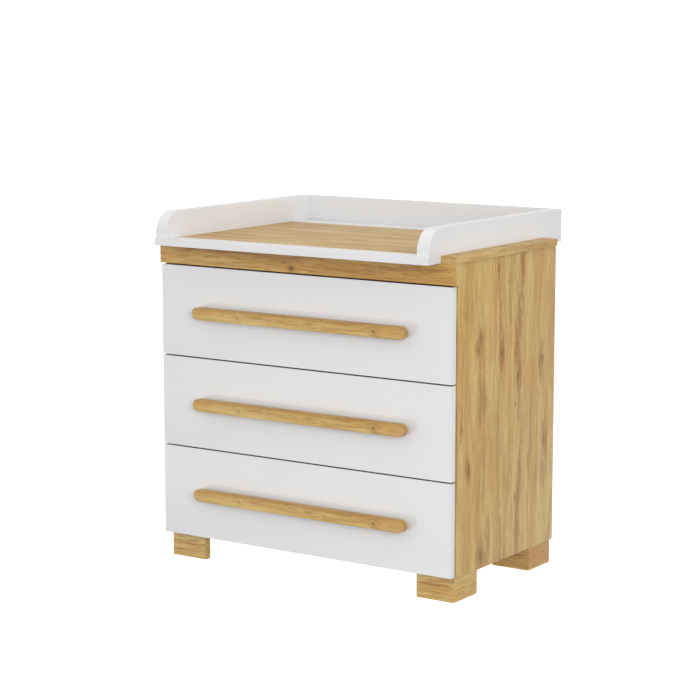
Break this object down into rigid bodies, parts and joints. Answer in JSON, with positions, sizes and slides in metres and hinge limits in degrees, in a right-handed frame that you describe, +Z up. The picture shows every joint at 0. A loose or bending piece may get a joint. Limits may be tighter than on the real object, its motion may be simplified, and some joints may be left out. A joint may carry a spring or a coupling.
{
  "type": "changing table",
  "caption": "Low chest of oak-look board with white drawer fronts, oak bar handles and L-shaped feet, carrying a lift-off white changing tray with raised rounded sides.",
  "frame": {"origin": "on the floor, under the middle of the bounding box", "axes": "+Z up; the drawers face and open towards -Y; +X to the right of a person facing the drawers"},
  "size_m": [0.8, 0.59, 0.82],
  "materials": {
    "oak_board": "oak-look melamine board with brown grain streaks and small knots, satin matt",
    "white_board": "smooth matt white melamine board with white edging",
    "drawer_lining": "off-white foiled chipboard, matt",
    "hardboard": "thin white-faced hardboard, matt",
    "slide_steel": "zinc-plated rolled steel"
  },
  "bodies": {
    "carcass": {"top_panel": "oak_board", "front_apron": "oak_board", "side_panel_left": "oak_board", "side_panel_right": "oak_board", "bottom_panel": "white_board", "rear_rail": "white_board", "back_panel": "hardboard", "foot_front_left_face": "oak_board", "foot_front_left_cheek": "oak_board", "foot_front_right_face": "oak_board", "foot_front_right_cheek": "oak_board", "foot_rear_left_face": "oak_board", "foot_rear_left_cheek": "oak_board", "foot_rear_right_face": "oak_board", "foot_rear_right_cheek": "oak_board", "drawer_1_slide_outer_left": "slide_steel", "drawer_1_slide_outer_right": "slide_steel", "drawer_2_slide_outer_left": "slide_steel", "drawer_2_slide_outer_right": "slide_steel", "drawer_3_slide_outer_left": "slide_steel", "drawer_3_slide_outer_right": "slide_steel"},
    "drawer_1": {"drawer_1_front": "white_board", "drawer_1_side_left": "drawer_lining", "drawer_1_side_right": "drawer_lining", "drawer_1_back": "drawer_lining", "drawer_1_bottom": "hardboard", "drawer_1_handle": "oak_board", "drawer_1_handle_post_left": "slide_steel", "drawer_1_handle_post_right": "slide_steel", "drawer_1_slide_inner_left": "slide_steel", "drawer_1_slide_inner_right": "slide_steel"},
    "drawer_2": {"drawer_2_front": "white_board", "drawer_2_side_left": "drawer_lining", "drawer_2_side_right": "drawer_lining", "drawer_2_back": "drawer_lining", "drawer_2_bottom": "hardboard", "drawer_2_handle": "oak_board", "drawer_2_handle_post_left": "slide_steel", "drawer_2_handle_post_right": "slide_steel", "drawer_2_slide_inner_left": "slide_steel", "drawer_2_slide_inner_right": "slide_steel"},
    "drawer_3": {"drawer_3_front": "white_board", "drawer_3_side_left": "drawer_lining", "drawer_3_side_right": "drawer_lining", "drawer_3_back": "drawer_lining", "drawer_3_bottom": "hardboard", "drawer_3_handle": "oak_board", "drawer_3_handle_post_left": "slide_steel", "drawer_3_handle_post_right": "slide_steel", "drawer_3_slide_inner_left": "slide_steel", "drawer_3_slide_inner_right": "slide_steel"},
    "tray": {"tray_wall_left": "white_board", "tray_wall_right": "white_board", "tray_wall_rear": "white_board", "tray_plank_front": "white_board", "tray_plank_rear": "white_board"}
  },
  "joints": [
    {"name": "drawer_1_slide", "type": "slide", "parent": "carcass", "child": "drawer_1", "axis": [0, -1, 0], "range_m": [0, 0.3]},
    {"name": "drawer_2_slide", "type": "slide", "parent": "carcass", "child": "drawer_2", "axis": [0, -1, 0], "range_m": [0, 0.3]},
    {"name": "drawer_3_slide", "type": "slide", "parent": "carcass", "child": "drawer_3", "axis": [0, -1, 0], "range_m": [0, 0.3]},
    {"name": "tray_lift", "type": "slide", "parent": "carcass", "child": "tray", "axis": [0, 0, 1], "range_m": [0, 0.12]}
  ]
}
